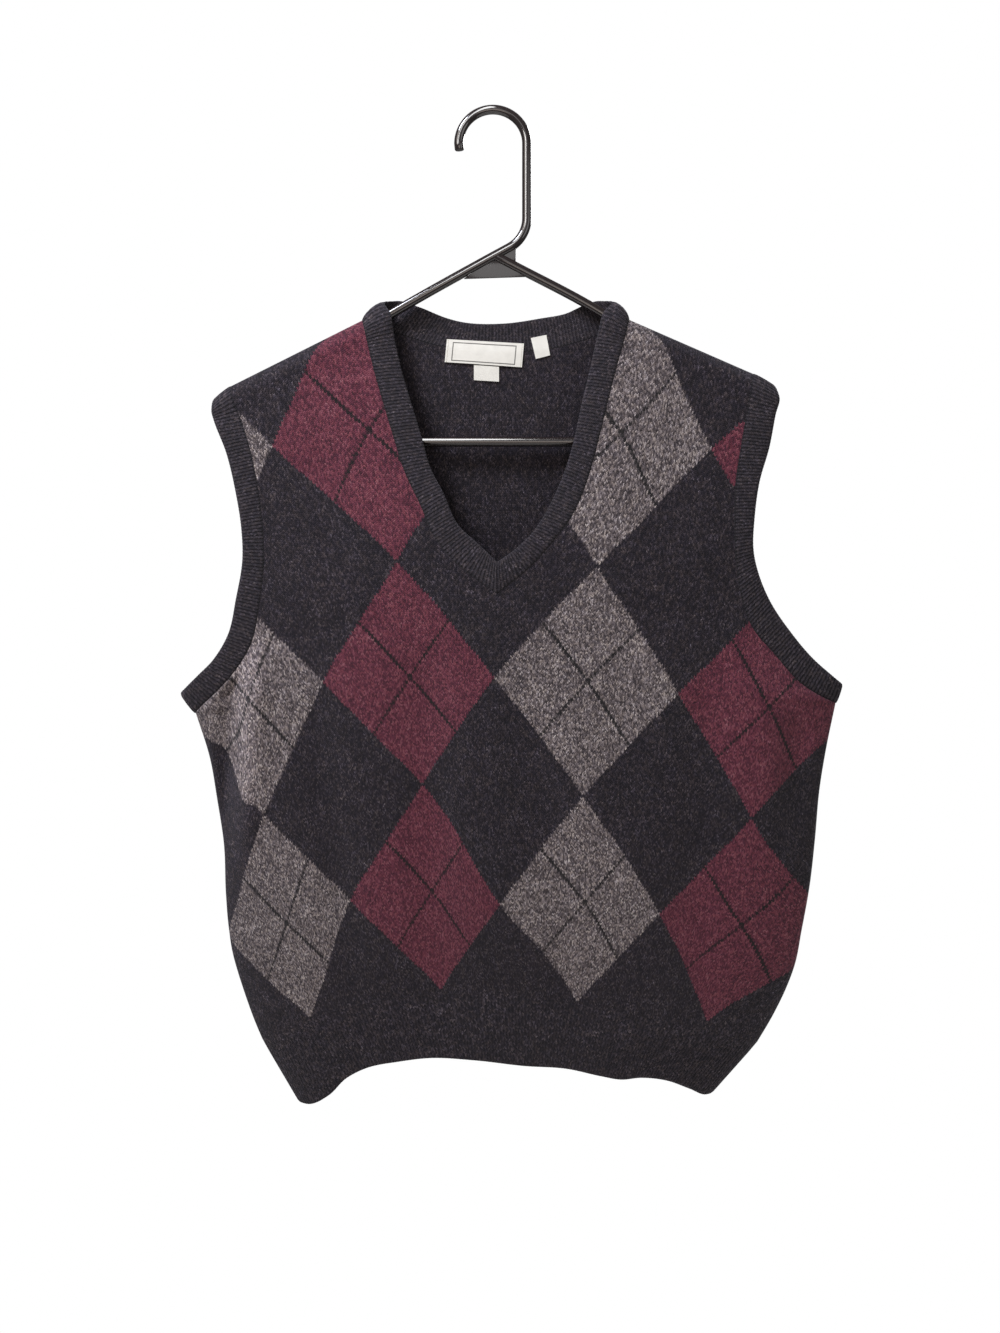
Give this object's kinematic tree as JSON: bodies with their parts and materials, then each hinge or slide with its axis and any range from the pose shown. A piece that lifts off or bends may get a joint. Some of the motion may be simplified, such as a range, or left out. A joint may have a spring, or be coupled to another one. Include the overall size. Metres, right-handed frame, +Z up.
{
  "type": "knitted sweater vest on a hanger",
  "caption": "Sleeveless V-neck knitted vest with argyle diamonds on the front and ribbed neck, armholes and hem, hanging flat from a tubular plastic hanger.",
  "frame": {"origin": "inside top of the hanger's hook, where the hook rests on what holds it, in the hanger's middle plane", "axes": "+Z up; the front of the vest faces -Y; +X is to the right of someone looking at the front"},
  "size_m": [0.531, 0.0591, 0.7978],
  "materials": {
    "argyle_lambswool": "plain jersey with intarsia argyle diamonds in burgundy and marled grey on charcoal, matt and slightly hairy",
    "charcoal_lambswool": "plain marled charcoal jersey, matt and slightly hairy",
    "ribbed_lambswool": "charcoal one-by-one rib, matt",
    "woven_label": "cream woven damask tape, slight satin, bare of text",
    "black_polystyrene": "glossy black moulded plastic"
  },
  "bodies": {
    "root": {"front": "argyle_lambswool", "back": "charcoal_lambswool", "neck_band": "ribbed_lambswool", "armhole_band_left": "ribbed_lambswool", "armhole_band_right": "ribbed_lambswool", "hem_rib_front": "ribbed_lambswool", "hem_rib_back": "ribbed_lambswool", "neck_label": "woven_label", "care_tag": "woven_label", "size_tag": "woven_label", "hanger": "black_polystyrene"}
  },
  "joints": []
}
